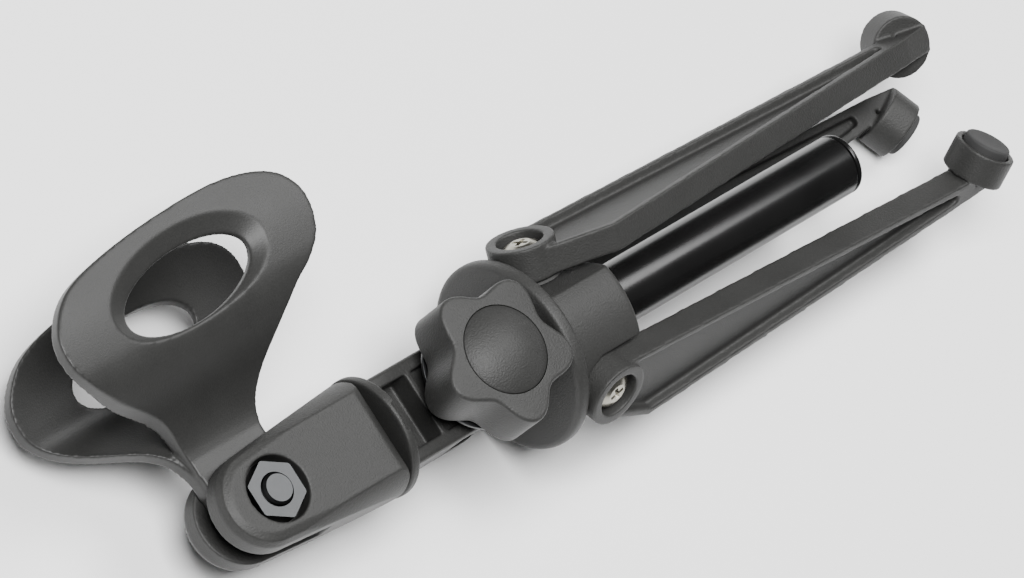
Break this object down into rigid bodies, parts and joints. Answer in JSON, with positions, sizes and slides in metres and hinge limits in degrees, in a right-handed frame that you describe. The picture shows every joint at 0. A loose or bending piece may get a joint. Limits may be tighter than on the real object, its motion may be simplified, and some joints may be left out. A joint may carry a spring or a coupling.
{
  "type": "folding tabletop microphone tripod",
  "caption": "Folding tabletop microphone tripod with a sliding centre column, a tilting arm clamped by a star knob, and a springy two-jaw microphone clip, lying folded.",
  "frame": {"origin": "centre of the box's footprint, at its lowest point", "axes": "+X along the centre tube, from the clip to the feet; +Z along the clamp screw, towards the knob; +Y the side on which the clip's jaws stand"},
  "size_m": [0.215, 0.0728, 0.0435],
  "materials": {
    "textured_black_plastic": "matte, finely textured",
    "satin_black_plastic": "satin",
    "gloss_black_paint": "high gloss",
    "black_oxide_steel": "black oxide",
    "nickel_plate": "satin nickel",
    "brass": "turned",
    "rubber": "matte",
    "nylon": "black",
    "acetal": "smooth"
  },
  "bodies": {
    "hub": {"hub": "textured_black_plastic", "column_bush": "acetal", "leg_screw_a": "nickel_plate", "leg_screw_b": "nickel_plate", "leg_screw_c": "nickel_plate", "leg_washer_a": "nylon", "leg_washer_b": "nylon", "leg_washer_c": "nylon"},
    "leg_a": {"leg_a": "textured_black_plastic", "foot_pad_a": "rubber"},
    "leg_b": {"leg_b": "textured_black_plastic", "foot_pad_b": "rubber"},
    "leg_c": {"leg_c": "textured_black_plastic", "foot_pad_c": "rubber"},
    "column": {"centre_tube": "gloss_black_paint", "column_head": "textured_black_plastic", "head_pin": "black_oxide_steel", "tube_plug": "textured_black_plastic"},
    "arm": {"arm": "textured_black_plastic", "arm_stud": "black_oxide_steel", "clamp_bolt": "black_oxide_steel", "friction_washer_front": "nylon", "friction_washer_rear": "nylon", "clamp_washer": "black_oxide_steel"},
    "knob": {"clamp_knob": "textured_black_plastic", "knob_cap": "textured_black_plastic", "knob_insert": "brass"},
    "clip_base": {"clip_base": "textured_black_plastic", "thread_insert": "brass", "clip_bolt": "black_oxide_steel", "clip_nut": "black_oxide_steel"},
    "clip": {"mic_clip": "satin_black_plastic"}
  },
  "joints": [
    {"name": "leg_a_swing", "type": "hinge", "parent": "hub", "child": "leg_a", "pos_m": [-0.00627, -0.01481, 0.0193], "axis": [0, -0.866, -0.5], "range_deg": [-0.8, 69.2]},
    {"name": "leg_b_swing", "type": "hinge", "parent": "hub", "child": "leg_b", "pos_m": [-0.00627, -0.01481, 0.0193], "axis": [0, 0.866, -0.5], "range_deg": [-6, 64]},
    {"name": "leg_c_swing", "type": "hinge", "parent": "hub", "child": "leg_c", "pos_m": [-0.00627, -0.01481, 0.0193], "axis": [0, 0, 1], "range_deg": [-5.6, 64.4]},
    {"name": "column_slide", "type": "slide", "parent": "hub", "child": "column", "axis": [-1, 0, 0], "range_m": [0, 0.06]},
    {"name": "arm_tilt", "type": "hinge", "parent": "column", "child": "arm", "pos_m": [-0.03077, -0.01481, 0.0193], "axis": [0, 0, 1], "range_deg": [-80, 90]},
    {"name": "knob_turn", "type": "hinge", "parent": "arm", "child": "knob", "pos_m": [-0.03077, -0.01481, 0.0193], "axis": [0, 0, 1], "continuous": true},
    {"name": "base_swivel", "type": "hinge", "parent": "arm", "child": "clip_base", "pos_m": [-0.05137, -0.01481, 0.0193], "axis": [1, 0, 0], "continuous": true},
    {"name": "clip_tilt", "type": "hinge", "parent": "clip_base", "child": "clip", "pos_m": [-0.07807, -0.01481, 0.0193], "axis": [0, 0, 1], "range_deg": [-0.6, 179.8]}
  ]
}
